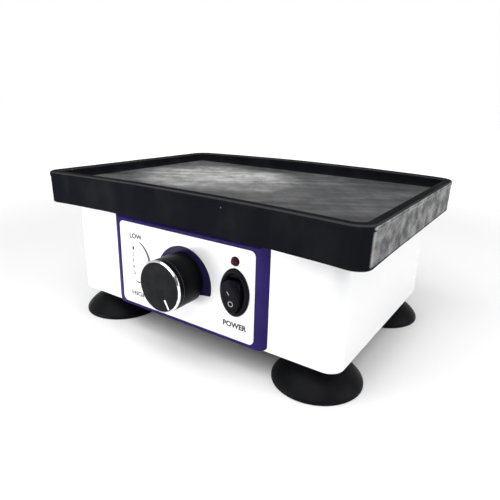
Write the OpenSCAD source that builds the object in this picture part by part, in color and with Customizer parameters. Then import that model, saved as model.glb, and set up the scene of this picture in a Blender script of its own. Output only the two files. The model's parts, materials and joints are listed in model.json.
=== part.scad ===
/* [Casing] */
// Width of the casing, left to right
casing_w = 209; // [204:0.5:216]
// Depth of the casing, front to back
casing_d = 151.5; // [148:0.5:154]
// Radius of the casing's four upright corners
casing_r = 9; // [6:0.5:12]
// Thickness of the casing's walls and top
wall = 2.5; // [2:0.5:3]
// Height of the casing's lower edge above the bench
casing_z = 19; // [17:0.5:22]
// Height of the casing's top face above the bench
casing_top = 87; // [86.5:0.5:88]

/* [Tray] */
// Width of the rubber tray
tray_w = 240; // [236:0.5:248]
// Depth of the rubber tray
tray_d = 172; // [170:0.5:178]
// Height of the tray's rim above the bench
rim_top = 107; // [104:0.5:110]
// Height of the skirt, from the rim down
skirt_h = 22; // [21:0.5:23]
// Depth of the well inside the rim
well_depth = 9; // [7:0.5:10]
// Thickness of the rim and skirt
rim_t = 6; // [5:0.5:6.5]
// Radius of the tray's corners
tray_r = 11; // [9:0.5:14]

/* [Feet] */
// Radius of a suction foot where it meets the bench
foot_r = 27; // [24:0.5:28]
// Half of the distance between the left and right feet
foot_x = 84; // [76:0.5:86]
// Half of the distance between the front and back feet
foot_y = 55; // [50:0.5:56]

/* [Controls] */
// Width of the raised front panel at its root
panel_w = 123; // [118:0.5:125]
// How far the front panel stands out of the casing
panel_t = 3; // [2:0.5:3.5]
// Diameter of the speed knob
knob_d = 32; // [28:0.5:33]
// Length of the speed knob
knob_l = 21; // [16:0.5:22]
// How much narrower the knob is at its back, on the radius
knob_taper = 0.3; // [0:0.1:1]
// Angle the power rocker is tilted at, either side of level
rocker_tilt = 10; // [6:1:12]

/* [Drive] */
// Distance between the drive shaft and its crank pin, half of the orbit
orbit_r = 2.5; // [1.5:0.25:2.5]
// Direction of the crank pin from the drive shaft at rest
orbit_angle = 206; // [0:1:359]
// Radius of the driven pulley
driven_r = 36; // [30:1:36]
// How many turns of the motor make one orbit
belt_ratio = 3; // [3:0.5:4]
// Distance between the motor and the drive shaft
motor_x = 64; // [60:1:66]

/* [Hidden] */
// Round surfaces are drawn with this many sides and are true circles.
$fn = 48;

// The tray's centre is the origin in X. In Y the origin is midway between
// the knob's face and the tray's back, so it is the middle of the whole part.
knob_gap = 0.8;
casing_front = -casing_d / 2;
panel_front = casing_front - panel_t;
knob_front = panel_front - knob_gap - knob_l;
pin_dx = orbit_r * cos(orbit_angle);
pin_dy = orbit_r * sin(orbit_angle);
drive_x = -pin_dx;
drive_y = -(knob_front + pin_dy + tray_d / 2) / 2;

// Running clearance on the radius of every shaft in its bearing.
run = 0.03;

// Room between the casing's walls.
inside_w = casing_w - 2 * wall;
inside_d = casing_d - 2 * wall;

// Heights of the inner parts.
floor_t = 3;
floor_top = casing_z + floor_t;
chassis_z = 63;
chassis_t = 3;
chassis_top = chassis_z + chassis_t;
chassis_w = 192;
chassis_d = 100;
roof_z = casing_top - wall;
plate_z = 90;
plate_t = 3;
plate_top = plate_z + plate_t;
floor_of_well = rim_top - well_depth;

// Controls, from the middle of the casing.
panel_bevel = 5.5;
panel_bottom = casing_z + 0.5;
panel_top = 83;
panel_r = 3;
label_w = 108;
label_h = 57;
label_z = 50.2;
label_t = 0.3;
label_front = panel_front - label_t;
knob_x = 2.05;
knob_z = 52;
knob_ring_t = 1.4;
knob_face_r = knob_d / 2 - 1.25;
knob_screw_y = 9;
switch_x = 40.6;
switch_z = 51.5;
switch_w = 20.4;
switch_h = 29.6;
switch_cut_x = 7.2;
switch_cut_z = 10.2;
bezel_t = 2;
rocker_w = 12.2;
rocker_h = 20.6;
rocker_body_w = 11;
rocker_pivot = 3;
rocker_pin_r = 1.5;
lamp_x = 40.6;
lamp_z = 70.4;
lamp_r = 2.6;
pot_shaft_r = 3;
pot_thread_r = 3.5;
pot_r = 8.5;
knob_rest = 150;

// Drive.
shaft_r = 4;
bearing_r = 11;
bearing_w = 7;
housing_r = 15;
housing_z = 33;
pulley_z = 69;
pulley_w = 8;
belt_w = 6;
belt_t = 1.5;
belt_z = pulley_z + 1;
belt_gap = 0.15;
motor_pulley_r = driven_r / belt_ratio;
motor_r = 21;
motor_z = 27;
motor_shaft_r = 2.5;
hub_r = 15;
hub_flange_r = 22;

// Idler cranks.
idler_x = 86;
idler_y = 40;
idler_r = 3;
idler_disc_r = 8;
bush_r = 5;

// Fasteners.
pillar_x = 88;
pillar_y = 24;
foot_stud_r = 3;
foot_neck_r = 11;
stud_z = 10;

// Mains inlet on the back wall, left of the middle.
inlet_x = -62;
inlet_z = 46;
inlet_y = casing_d / 2;
inlet_cut_x = 14.2;
inlet_cut_z = 18.2;

// Control board and transformer, on the base plate at the left.
board_x = -48;
board_y = -38;
board_w = 60;
board_d = 42;
board_z = floor_top + 6;
board_post_x = 26;
board_post_y = 17;
transformer_x = -60;
transformer_y = 14;

// Screws: shank, clearance hole, tapped hole and heads.
screw_r = 1.5;
screw_hole_r = 1.7;
tapped_r = 1.52;
head_r = 2.8;
small_head_r = 2.6;
housing_screw_xy = 13.5;
motor_screw_y = 12.5;
hub_screw_r = 18.5;

CORNERS = [[-1, -1], [1, -1], [-1, 1], [1, 1]];

// ---- helpers ----

// Places what is fixed to the casing.
module at_casing() {
  translate([drive_x, drive_y, 0]) children();
}

// Places what rides on the crank pin.
module at_platform() {
  translate([drive_x + pin_dx, drive_y + pin_dy, 0]) children();
}

// Places a copy at each of the four corners of a rectangle.
module at_corners(x, y) {
  for (c = CORNERS) translate([c[0] * x, c[1] * y, 0]) children();
}

// A rectangle with round corners, drawn from discs and bars.
module round_rect(w, d, r) {
  square([w - 2 * r, d], center = true);
  square([w, d - 2 * r], center = true);
  at_corners(w / 2 - r, d / 2 - r) circle(r);
}

// An upright slab with round corners, from z0 to z1.
module slab(w, d, r, z0, z1) {
  translate([0, 0, z0]) linear_extrude(z1 - z0) round_rect(w, d, r);
}

// A cylinder along Z from z0 to z1.
module post(r, z0, z1) {
  translate([0, 0, z0]) cylinder(r = r, h = z1 - z0);
}

// A cylinder along Y from y0 to y1.
module bar(r, y0, y1) {
  translate([0, y1, 0]) rotate([90, 0, 0]) cylinder(r = r, h = y1 - y0);
}

// A cylinder along Y that goes from one radius at y0 to another at y1.
module taper_bar(r0, r1, y0, y1) {
  translate([0, y1, 0]) rotate([90, 0, 0]) cylinder(r1 = r1, r2 = r0, h = y1 - y0);
}

// A block given by its lowest and highest corners.
module block(lo, hi) {
  translate(lo) cube(hi - lo);
}

// An oval upright in the XZ plane, h high: two long arcs with blunted tips.
module oval(w, h, y0, y1) {
  tip = 1.2;
  lens_h = h + 2 * tip;
  arc_r = (w * w + lens_h * lens_h) / (4 * w);
  off = arc_r - w / 2;
  intersection() {
    translate([off, 0, 0]) bar(arc_r, y0, y1);
    translate([-off, 0, 0]) bar(arc_r, y0, y1);
    bar(h / 2, y0, y1);
  }
}

// Places a copy at each of the four screws of the platform's hub.
module at_hub_screws() {
  for (a = [45 : 90 : 315]) rotate(a) translate([hub_screw_r, 0, 0]) children();
}

// Places a copy at each of the motor's two screws.
module at_motor_screws() {
  for (s = [-1, 1]) translate([0, s * motor_screw_y, 0]) children();
}

// ---- casing and front panel ----

// Holes for the knob's bushing, the switch and the lamp, from y0 to y1.
module control_holes(y0, y1) {
  translate([knob_x, 0, knob_z]) bar(pot_thread_r + 0.3, y0, y1);
  translate([switch_x, 0, switch_z])
    block([-switch_cut_x, y0, -switch_cut_z], [switch_cut_x, y1, switch_cut_z]);
  translate([lamp_x, 0, lamp_z]) bar(lamp_r + 0.2, y0, y1);
}

module casing_shell() at_casing() color("white") difference() {
  slab(casing_w, casing_d, casing_r, casing_z, casing_top);
  slab(inside_w, inside_d, casing_r - wall, casing_z - 1, roof_z);
  // Round the hub and the idler pins, with room for the orbit.
  post(hub_flange_r + orbit_r + 2, roof_z - 1, casing_top + 1);
  at_corners(idler_x, idler_y) post(idler_r + orbit_r + 2, roof_z - 1, casing_top + 1);
  control_holes(casing_front - 1, casing_front + 5);
  // Inlet hole in the back wall.
  translate([inlet_x, inlet_y, inlet_z])
    block([-inlet_cut_x, -5, -inlet_cut_z], [inlet_cut_x, 1, inlet_cut_z]);
}

module base_plate() at_casing() color("dimgray") difference() {
  slab(inside_w - 0.4, inside_d - 0.4, casing_r - wall - 0.2, casing_z, floor_top);
  at_corners(foot_x, foot_y) post(foot_stud_r + 0.2, casing_z - 1, floor_top + 1);
  at_corners(pillar_x, pillar_y) post(screw_hole_r, casing_z - 1, floor_top + 1);
  for (x = [0 : 12 : 60]) block([x - 2, -50, casing_z - 1], [x + 2, -14, floor_top + 1]);
}

module base_screws() at_casing() color("silver") at_corners(pillar_x, pillar_y) {
  post(head_r, casing_z - 1.8, casing_z);
  post(screw_r, casing_z, floor_top + 8);
}

// The panel's outline seen from above: a plate with sloping sides.
module panel_outline() {
  polygon([
    [-panel_w / 2, casing_front],
    [panel_w / 2, casing_front],
    [panel_w / 2 - panel_bevel, panel_front],
    [-panel_w / 2 + panel_bevel, panel_front]
  ]);
}

// A plate upright in the XZ plane with round corners, from y0 to y1.
module upright_plate(w, z0, z1, r, y0, y1) {
  translate([0, y1, (z0 + z1) / 2]) rotate([90, 0, 0])
    linear_extrude(y1 - y0) round_rect(w, z1 - z0, r);
}

module front_panel() at_casing() color("darkslateblue") difference() {
  intersection() {
    translate([0, 0, panel_bottom]) linear_extrude(panel_top - panel_bottom) panel_outline();
    upright_plate(panel_w, panel_bottom, panel_top, panel_r, panel_front - 1, casing_front);
  }
  // Sloping top edge.
  translate([-panel_w, panel_front, panel_top - 2.4]) rotate([45, 0, 0])
    translate([0, -1, 0]) cube([2 * panel_w, 7, 5]);
  control_holes(panel_front - 1, casing_front + 1);
}

module panel_label() at_casing() color("whitesmoke") difference() {
  upright_plate(label_w, label_z - label_h / 2, label_z + label_h / 2, 3.5, label_front, panel_front);
  control_holes(label_front - 1, panel_front + 1);
}

module lamp_lens() at_casing() color("crimson") translate([lamp_x, 0, lamp_z]) {
  bar(lamp_r, label_front - 1, casing_front + 4.5);
  translate([0, label_front - 1, 0]) intersection() {
    sphere(lamp_r);
    translate([0, -5, 0]) cube(10, center = true);
  }
  bar(lamp_r + 0.3, casing_front + wall + 1, casing_front + wall + 2);
  for (s = [-1, 1]) translate([s * 1.27, 0, 0]) bar(0.3, casing_front + 4.5, casing_front + 16);
}

module lamp_clip() at_casing() color("black") translate([lamp_x, 0, lamp_z]) difference() {
  bar(4.2, casing_front + wall, casing_front + wall + 6);
  bar(lamp_r + 0.35, casing_front + wall - 1, casing_front + wall + 7);
}

// ---- power switch ----

// Pivot of the rocker, across the switch.
module rocker_pin(r, half) {
  translate([-half, rocker_pivot, 0]) rotate([0, 90, 0]) cylinder(r = r, h = 2 * half);
}

// Oval bezel and square body, hollowed for the rocker.
module switch_housing() at_casing() color("black") difference() {
  union() {
    translate([switch_x, 0, switch_z]) oval(switch_w, switch_h, label_front - bezel_t, label_front);
    translate([switch_x, label_front, switch_z]) block([-7, 0, -10], [7, 19, 10]);
  }
  translate([switch_x, label_front, switch_z]) {
    oval(rocker_w + 1, rocker_h + 2, -bezel_t - 1, 0.01);
    block([-5.9, -bezel_t - 1, -9.2], [5.9, 12, 9.2]);
    rocker_pin(rocker_pin_r + run, 6.6);
  }
}

module switch_terminals() at_casing() color("silver") for (s = [-1, 1])
  translate([switch_x, 0, switch_z + s * 5])
    block([-2.4, label_front + 19, -0.4], [2.4, label_front + 27, 0.4]);

// The rocker from the side: two flat pads that meet in a shallow valley.
module rocker_profile() {
  polygon([
    [-5.6, 0],
    [-6.4, 7.4],
    [-5.6, 9.0],
    [-3.2, 10.1],
    [-2.2, 10.2],
    [-1.6, 8.4],
    [0.6, 8.2],
    [5.0, 5.0],
    [7.5, 0],
    [5.0, -5.0],
    [0.6, -8.2],
    [-1.6, -8.4],
    [-2.2, -10.2],
    [-3.2, -10.1],
    [-5.6, -9.0],
    [-6.4, -7.4]
  ]);
}

// What lies in front of y1 of a rocker w wide.
module rocker_slice(w, y1) intersection() {
  translate([-w / 2, 0, 0]) rotate([90, 0, 90]) linear_extrude(w) rocker_profile();
  oval(rocker_w, rocker_h, -8, y1);
}

module switch_rocker() at_casing() color("black")
  translate([switch_x, label_front + rocker_pivot, switch_z]) rotate([rocker_tilt, 0, 0])
    translate([0, -rocker_pivot, 0]) {
      rocker_slice(rocker_w + 1, -1.7);
      rocker_slice(rocker_body_w, 9);
      rocker_pin(rocker_pin_r, 6.5);
    }

// ---- speed knob ----

module speed_control() at_casing() color("dimgray") translate([knob_x, 0, knob_z]) difference() {
  union() {
    bar(pot_r, casing_front + wall + 0.5, casing_front + wall + 11);
    bar(pot_thread_r, label_front - 3, casing_front + wall + 1);
    block([-6, casing_front + wall + 3, -14], [6, casing_front + wall + 4.5, -6]);
  }
  bar(pot_shaft_r + run, label_front - 4, casing_front + wall + 8);
}

module speed_control_nut() at_casing() color("silver") translate([knob_x, 0, knob_z]) difference() {
  translate([0, label_front, 0]) rotate([90, 0, 0]) cylinder(r = 5.8, h = 2, $fn = 6);
  bar(pot_thread_r + 0.02, label_front - 3, label_front + 1);
}

module speed_shaft() at_casing() color("silver") translate([knob_x, 0, knob_z])
  bar(pot_shaft_r, knob_front + 4, casing_front + wall + 7.5);

module knob_body() at_casing() color("#1c1c1e") translate([knob_x, 0, knob_z]) difference() {
  taper_bar(knob_d / 2, knob_d / 2 - knob_taper, knob_front + knob_ring_t, panel_front - knob_gap);
  // Room for the nut.
  bar(7, panel_front - knob_gap - 4, panel_front);
  // Bore for the shaft.
  bar(pot_shaft_r + 0.02, knob_front + 4, panel_front);
  // Hole for the grub screw, a quarter turn past the pointer.
  rotate([0, knob_rest + 90, 0]) translate([0, knob_front + knob_screw_y, 0]) post(screw_r, 0, knob_d);
}

module knob_ring() at_casing() color("silver") translate([knob_x, 0, knob_z])
  translate([0, knob_front, 0]) rotate([-90, 0, 0]) rotate_extrude()
    polygon([
      [knob_d / 2 - 1.2, 0.5],
      [knob_d / 2 - 0.75, 0],
      [knob_d / 2 - 0.55, 0],
      [knob_d / 2, 1.0],
      [knob_d / 2, knob_ring_t],
      [knob_d / 2 - 1.2, knob_ring_t]
    ]);

module knob_face() at_casing() color("#2a2a2c") translate([knob_x, 0, knob_z]) {
  bar(knob_face_r, knob_front + 0.4, knob_front + knob_ring_t);
  rotate([0, knob_rest, 0]) block([-0.5, knob_front + 0.2, 8], [0.5, knob_front + 0.4, knob_face_r - 0.5]);
}

module knob_screw() at_casing() color("black") translate([knob_x, 0, knob_z])
  rotate([0, knob_rest + 90, 0]) translate([0, knob_front + knob_screw_y, 0])
    post(screw_r - 0.02, pot_shaft_r + 0.1, pot_shaft_r + 7);

// ---- suction feet ----

// Half section of a foot: a bell with a shallow hollow under it.
module foot_profile() {
  difference() {
    polygon([
      [0, 0],
      [foot_r, 0],
      [foot_r, 2],
      [foot_r - 1.4, 4.2],
      [foot_r - 5.5, 8],
      [foot_r - 10, 11],
      [foot_neck_r + 1.5, 14.2],
      [foot_neck_r, casing_z - 2],
      [foot_neck_r, casing_z],
      [0, casing_z]
    ]);
    polygon([[-1, -1], [foot_r - 3, -1], [foot_r - 3, 0], [12, 3.2], [-1, 3.6]]);
    translate([-1, stud_z]) square([1 + foot_stud_r, casing_z]);
  }
}

module foot(sx, sy) at_casing() color("#1e1e20")
  translate([sx * foot_x, sy * foot_y, 0]) rotate_extrude() foot_profile();

module foot_front_left() foot(-1, -1);
module foot_front_right() foot(1, -1);
module foot_back_left() foot(-1, 1);
module foot_back_right() foot(1, 1);

module foot_studs() at_casing() color("silver") at_corners(foot_x, foot_y)
  post(foot_stud_r, stud_z, floor_top + 5.5);

module foot_nuts() at_casing() color("silver") at_corners(foot_x, foot_y) difference() {
  translate([0, 0, floor_top]) cylinder(r = 5.6, h = 5, $fn = 6);
  post(foot_stud_r + 0.02, floor_top - 1, floor_top + 6);
}

// ---- chassis ----

module chassis_plate() at_casing() color("silver") difference() {
  slab(chassis_w, chassis_d, 6, chassis_z, chassis_top);
  post(housing_r + 0.2, chassis_z - 1, chassis_top + 1);
  at_corners(idler_x, idler_y) post(bush_r + 0.02, chassis_z - 1, chassis_top + 1);
  at_corners(pillar_x, pillar_y) post(screw_hole_r, chassis_z - 1, chassis_top + 1);
  at_corners(housing_screw_xy, housing_screw_xy) post(screw_hole_r, chassis_z - 1, chassis_top + 1);
  translate([motor_x, 0, 0]) {
    post(6.2, chassis_z - 1, chassis_top + 1);
    at_motor_screws() post(screw_hole_r, chassis_z - 1, chassis_top + 1);
  }
}

module chassis_pillars() at_casing() color("gold") at_corners(pillar_x, pillar_y) difference() {
  translate([0, 0, floor_top]) cylinder(r = 4, h = chassis_z - floor_top, $fn = 6);
  post(tapped_r, floor_top - 1, floor_top + 9);
  post(tapped_r, chassis_z - 9, chassis_z + 1);
}

module chassis_screws() at_casing() color("silver") at_corners(pillar_x, pillar_y) {
  post(screw_r, chassis_z - 8, chassis_top);
  post(head_r, chassis_top, chassis_top + 2);
}

module shaft_housing() at_casing() color("lightgray") difference() {
  union() {
    post(housing_r, housing_z, chassis_top);
    post(24, chassis_z - 4, chassis_z);
  }
  post(bearing_r + 0.02, housing_z + 2, housing_z + 2 + bearing_w);
  post(bearing_r + 0.02, chassis_top - bearing_w - 1, chassis_top + 1);
  post(bearing_r - 2, housing_z - 1, chassis_top);
  // The lower bearing goes in from below.
  post(bearing_r + 0.02, housing_z - 1, housing_z + 3);
  at_corners(housing_screw_xy, housing_screw_xy) post(tapped_r, chassis_z - 5, chassis_z + 1);
}

module housing_screws() at_casing() color("silver") at_corners(housing_screw_xy, housing_screw_xy) {
  post(screw_r, chassis_z - 4, chassis_top);
  post(small_head_r, chassis_top, chassis_top + 1.6);
}

// A ball bearing drawn as one ring.
module bearing(z) difference() {
  post(bearing_r, z, z + bearing_w);
  post(shaft_r + run, z - 1, z + bearing_w + 1);
}

module lower_bearing() at_casing() color("gainsboro") bearing(housing_z + 2);
module upper_bearing() at_casing() color("gainsboro") bearing(chassis_top - bearing_w - 1);

// Flanged plain bush, standing on the plate it is pressed into.
module bush(z0, z1, flange_z) difference() {
  union() {
    post(bush_r, z0, z1);
    post(bush_r + 2, flange_z, flange_z + 1.5);
  }
  post(idler_r + run, z0 - 1, z1 + 1);
}

module idler_bushes() at_casing() color("peru") at_corners(idler_x, idler_y)
  bush(chassis_z - 7, chassis_top, chassis_z - 1.5);

// ---- drive ----

module drive_shaft() at_casing() color("silver") {
  post(shaft_r, housing_z - 1, pulley_z + pulley_w + 3);
  translate([pin_dx, pin_dy, 0]) post(shaft_r, pulley_z + pulley_w + 3, plate_top);
}

// Spring clip that keeps the shaft from lifting out of its bearings.
module shaft_clip() at_casing() color("dimgray") difference() {
  post(6, housing_z + 0.6, housing_z + 1.8);
  post(shaft_r, housing_z, housing_z + 2);
}

// A pulley with a flange above and below the belt.
module pulley(r, bore) difference() {
  union() {
    post(r, pulley_z, pulley_z + pulley_w);
    post(r + 2, pulley_z, pulley_z + 0.8);
    post(r + 2, pulley_z + pulley_w - 0.8, pulley_z + pulley_w);
  }
  post(bore, pulley_z - 1, pulley_z + pulley_w + 1);
}

module driven_pulley() at_casing() color("silver") difference() {
  union() {
    pulley(driven_r, shaft_r);
    // Boss that stands on the upper bearing.
    post(6, chassis_top - 0.9, pulley_z);
  }
  post(shaft_r, chassis_z, pulley_z + 1);
  for (a = [0 : 60 : 300]) rotate(a + orbit_angle) translate([22, 0, 0])
    post(6, pulley_z - 1, pulley_z + pulley_w + 1);
}

// Half ring opposite the crank pin that balances the moving platform.
module counterweight() at_casing() color("dimgray") rotate(orbit_angle) difference() {
  post(34, pulley_z + pulley_w, pulley_z + pulley_w + 6);
  post(15, pulley_z, roof_z);
  block([-4, -50, pulley_z], [50, 50, roof_z]);
}

// Outline of the belt: two discs joined by the band between their tangents.
module belt_outline(grow) {
  big = driven_r + grow;
  small = motor_pulley_r + grow;
  lean = acos((big - small) / motor_x);
  circle(big);
  translate([motor_x, 0]) circle(small);
  polygon([
    [big * cos(lean), big * sin(lean)],
    [motor_x + small * cos(lean), small * sin(lean)],
    [motor_x + small * cos(lean), -small * sin(lean)],
    [big * cos(lean), -big * sin(lean)]
  ]);
}

module drive_belt() at_casing() color("#222222") translate([0, 0, belt_z])
  linear_extrude(belt_w) difference() {
    belt_outline(belt_gap + belt_t);
    belt_outline(belt_gap);
  }

// Idler crank: keeps the platform square while it orbits.
module idler(sx, sy) at_casing() color("silver") translate([sx * idler_x, sy * idler_y, 0]) {
  post(idler_r, chassis_z - 6, chassis_top + 1);
  post(idler_disc_r, chassis_top + 1, chassis_top + 5);
  translate([pin_dx, pin_dy, 0]) post(idler_r, chassis_top + 5, plate_top);
}

module idler_front_left() idler(-1, -1);
module idler_front_right() idler(1, -1);
module idler_back_left() idler(-1, 1);
module idler_back_right() idler(1, 1);

module motor_can() at_casing() color("dimgray") translate([motor_x, 0, 0]) difference() {
  union() {
    post(motor_r, motor_z, chassis_z);
    post(6, chassis_z, chassis_top);
  }
  post(motor_shaft_r + run, motor_z + 4, chassis_top + 1);
  at_motor_screws() post(tapped_r, chassis_z - 5, chassis_z + 1);
}

module motor_screws() at_casing() color("silver") translate([motor_x, 0, 0])
  at_motor_screws() {
    post(screw_r, chassis_z - 4, chassis_top);
    post(small_head_r, chassis_top, chassis_top + 1.6);
  }

module motor_shaft() at_casing() color("silver") translate([motor_x, 0, 0])
  post(motor_shaft_r, motor_z + 5, pulley_z + pulley_w + 1);

module motor_pulley() at_casing() color("lightgray") translate([motor_x, 0, 0])
  pulley(motor_pulley_r, motor_shaft_r);

// ---- platform and tray ----

module platform_plate() at_platform() color("lightgray") difference() {
  slab(tray_w - 2 * rim_t - 1, tray_d - 2 * rim_t - 1, tray_r - rim_t, plate_z, plate_top);
  post(hub_r, plate_z - 1, plate_top + 1);
  at_corners(idler_x, idler_y) post(bush_r, plate_z - 1, plate_top + 1);
  at_hub_screws() post(screw_hole_r, plate_z - 1, plate_top + 1);
}

module platform_hub() at_platform() color("silver") difference() {
  union() {
    post(hub_r, plate_z - 4, plate_top);
    post(hub_flange_r, plate_z - 3, plate_z);
  }
  post(bearing_r, plate_z - 5, plate_top + 1);
  at_hub_screws() post(tapped_r, plate_z - 5, plate_z + 1);
}

module hub_bearing() at_platform() color("gainsboro") bearing(plate_z - 4);

module platform_bushes() at_platform() color("peru") at_corners(idler_x, idler_y)
  bush(plate_z - 2.5, plate_top, plate_z - 1.5);

module hub_screws() at_platform() color("silver")
  at_hub_screws() {
    post(screw_r, plate_z - 3, plate_top);
    post(small_head_r, plate_z - 4.6, plate_z - 3);
  }

// Rubber tray: a well above, and a skirt that drops over the platform.
module tray() at_platform() color("#26272a") difference() {
  slab(tray_w, tray_d, tray_r, rim_top - skirt_h, rim_top);
  slab(tray_w - 2 * rim_t, tray_d - 2 * rim_t, tray_r - rim_t, floor_of_well, rim_top + 1);
  slab(tray_w - 2 * rim_t, tray_d - 2 * rim_t, tray_r - rim_t, rim_top - skirt_h - 1, plate_top);
}

// ---- electrical parts ----

module control_board() at_casing() color("darkgreen") translate([board_x, board_y, 0]) difference() {
  slab(board_w, board_d, 2, board_z, board_z + 1.6);
  at_corners(board_post_x, board_post_y) post(screw_r + 0.1, board_z - 1, board_z + 3);
}

module board_posts() at_casing() color("ivory") translate([board_x, board_y, 0])
  at_corners(board_post_x, board_post_y) {
    post(3, floor_top, board_z);
    post(screw_r, board_z, board_z + 3);
  }

module heat_sink() at_casing() color("#303236") translate([board_x + 14, board_y, 0]) {
  block([-10, -9, board_z + 1.6], [10, 8.4, board_z + 4]);
  for (y = [-9 : 4 : 7]) block([-10, y, board_z + 4], [10, y + 1.4, board_z + 18]);
}

module capacitors() at_casing() color("navy") translate([board_x - 14, board_y, 0])
  for (y = [-9, 5]) translate([0, y, 0]) post(5, board_z + 1.6, board_z + 19);

// Iron core with two windows, and the coil wound round its middle leg.
module transformer_core() at_casing() color("#4a4a4c") translate([transformer_x, transformer_y, floor_top])
  difference() {
    block([-22, -8, 0], [22, 8, 36]);
    for (s = [-1, 1]) translate([s * 11.5, 0, 0]) block([-4, -9, 8], [4, 9, 28]);
  }

module transformer_coil() at_casing() color("goldenrod") translate([transformer_x, transformer_y, floor_top])
  difference() {
    block([-15.2, -14, 8.4], [15.2, 14, 27.6]);
    block([-7.6, -8.1, 8], [7.6, 8.1, 28]);
    for (s = [-1, 1]) translate([s * 15.8, 0, 0]) block([-0.4, -8.1, 8], [0.4, 8.1, 28]);
  }

// The inlet's three blades.
module inlet_blades() {
  for (x = [-7, 0, 7]) translate([x, 0, x == 0 ? 8 : 4])
    block([-1, -28, -2], [1, -3, 2]);
}

// Mains inlet with a fuse drawer under its socket.
module inlet_socket() at_casing() color("#202022") translate([inlet_x, inlet_y, inlet_z]) difference() {
  union() {
    block([-14, -22, -18], [14, 0, 18]);
    block([-17, 0, -21], [17, 2, 21]);
  }
  block([-12, -16, -4], [12, 3, 13]);
  block([-12.2, -20, -15.2], [12.2, 3, -6.8]);
  inlet_blades();
}

module inlet_pins() at_casing() color("silver") translate([inlet_x, inlet_y, inlet_z]) inlet_blades();

module fuse_drawer() at_casing() color("#2a2a2c") translate([inlet_x, inlet_y, inlet_z]) difference() {
  union() {
    block([-12, -19.5, -15], [12, 2, -7]);
    block([-13, 2.1, -16], [13, 3.6, -6]);
    block([-12, 1, -15], [12, 3, -7]);
  }
  block([-10.1, -18, -14], [10.1, -11, -6]);
}

module fuse() at_casing() color("lightgray") translate([inlet_x - 10, inlet_y - 14.5, inlet_z - 11.4])
  rotate([0, 90, 0]) cylinder(r = 2.6, h = 20);

casing_shell();
base_plate();
base_screws();
front_panel();
panel_label();
lamp_lens();
lamp_clip();
switch_housing();
switch_terminals();
switch_rocker();
speed_control();
speed_control_nut();
speed_shaft();
knob_body();
knob_ring();
knob_face();
knob_screw();
foot_front_left();
foot_front_right();
foot_back_left();
foot_back_right();
foot_studs();
foot_nuts();
chassis_plate();
chassis_pillars();
chassis_screws();
shaft_housing();
housing_screws();
lower_bearing();
upper_bearing();
idler_bushes();
drive_shaft();
shaft_clip();
driven_pulley();
counterweight();
drive_belt();
idler_front_left();
idler_front_right();
idler_back_left();
idler_back_right();
motor_can();
motor_screws();
motor_shaft();
motor_pulley();
platform_plate();
platform_hub();
hub_bearing();
platform_bushes();
hub_screws();
tray();
control_board();
board_posts();
heat_sink();
capacitors();
transformer_core();
transformer_coil();
inlet_socket();
inlet_pins();
fuse_drawer();
fuse();
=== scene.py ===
"""Orbital shaker: the looks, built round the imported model.

Lengths are in millimetres and are turned into metres as each mesh is made. Places come from the boxes of the
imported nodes, so a piece sits where the model has it.
"""

import json
import math
import random

import bmesh
import bpy
from mathutils import Matrix, Vector


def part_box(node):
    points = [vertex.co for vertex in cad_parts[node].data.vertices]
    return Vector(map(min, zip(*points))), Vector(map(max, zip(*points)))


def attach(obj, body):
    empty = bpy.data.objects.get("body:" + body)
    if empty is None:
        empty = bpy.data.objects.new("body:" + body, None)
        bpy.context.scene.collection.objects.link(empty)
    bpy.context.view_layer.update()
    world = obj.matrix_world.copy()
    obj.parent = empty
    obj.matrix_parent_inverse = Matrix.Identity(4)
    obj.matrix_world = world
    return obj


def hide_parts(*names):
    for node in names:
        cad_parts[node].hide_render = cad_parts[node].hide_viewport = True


MM = 0.001

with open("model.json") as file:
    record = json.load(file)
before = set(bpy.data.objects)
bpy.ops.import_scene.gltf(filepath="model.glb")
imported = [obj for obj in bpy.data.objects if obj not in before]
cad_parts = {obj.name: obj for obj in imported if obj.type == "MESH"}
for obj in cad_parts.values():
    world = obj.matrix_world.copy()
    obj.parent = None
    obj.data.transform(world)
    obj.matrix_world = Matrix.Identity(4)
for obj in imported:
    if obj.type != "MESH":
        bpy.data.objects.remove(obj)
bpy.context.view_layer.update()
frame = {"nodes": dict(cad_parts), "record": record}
nodes = frame["nodes"]
scene = bpy.context.scene


def box_mm(node):
    """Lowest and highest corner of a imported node, in millimetres."""
    low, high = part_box(node)
    return low / MM, high / MM


# ---- places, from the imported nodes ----

casing_low, casing_high = box_mm("casing_shell")
casing_x = (casing_low.x + casing_high.x) / 2
label_y = box_mm("panel_label")[0].y
knob_low, knob_high = box_mm("knob_ring")
knob_centre_x = (knob_low.x + knob_high.x) / 2
knob_centre_z = (knob_low.z + knob_high.z) / 2
knob_radius = (knob_high.x - knob_low.x) / 2
knob_front = knob_low.y
knob_back = box_mm("knob_body")[1].y
knob_ring_t = knob_high.y - knob_front
switch_low, switch_high = box_mm("switch_housing")
switch_x = (switch_low.x + switch_high.x) / 2
switch_z = (switch_low.z + switch_high.z) / 2
lamp_low, lamp_high = box_mm("lamp_lens")
lamp_x = (lamp_low.x + lamp_high.x) / 2
lamp_z = (lamp_low.z + lamp_high.z) / 2
tray_low, tray_high = box_mm("tray")
tray_centre = (tray_low + tray_high) / 2
tray_w = tray_high.x - tray_low.x
tray_d = tray_high.y - tray_low.y


# ---- camera ----

LENS = 32.6
SENSOR = 36.0
CAMERA_SHIFT = (0.0043, 0.0045)
CAMERA_CLIP_START = 0.01
CAMERA_PLACE = Vector((180.9, -263.1, 155.0))
CAMERA_YAW = math.radians(34.08)
CAMERA_PITCH = math.radians(18.51)
CAMERA_ROLL = math.radians(1.42)


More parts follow.
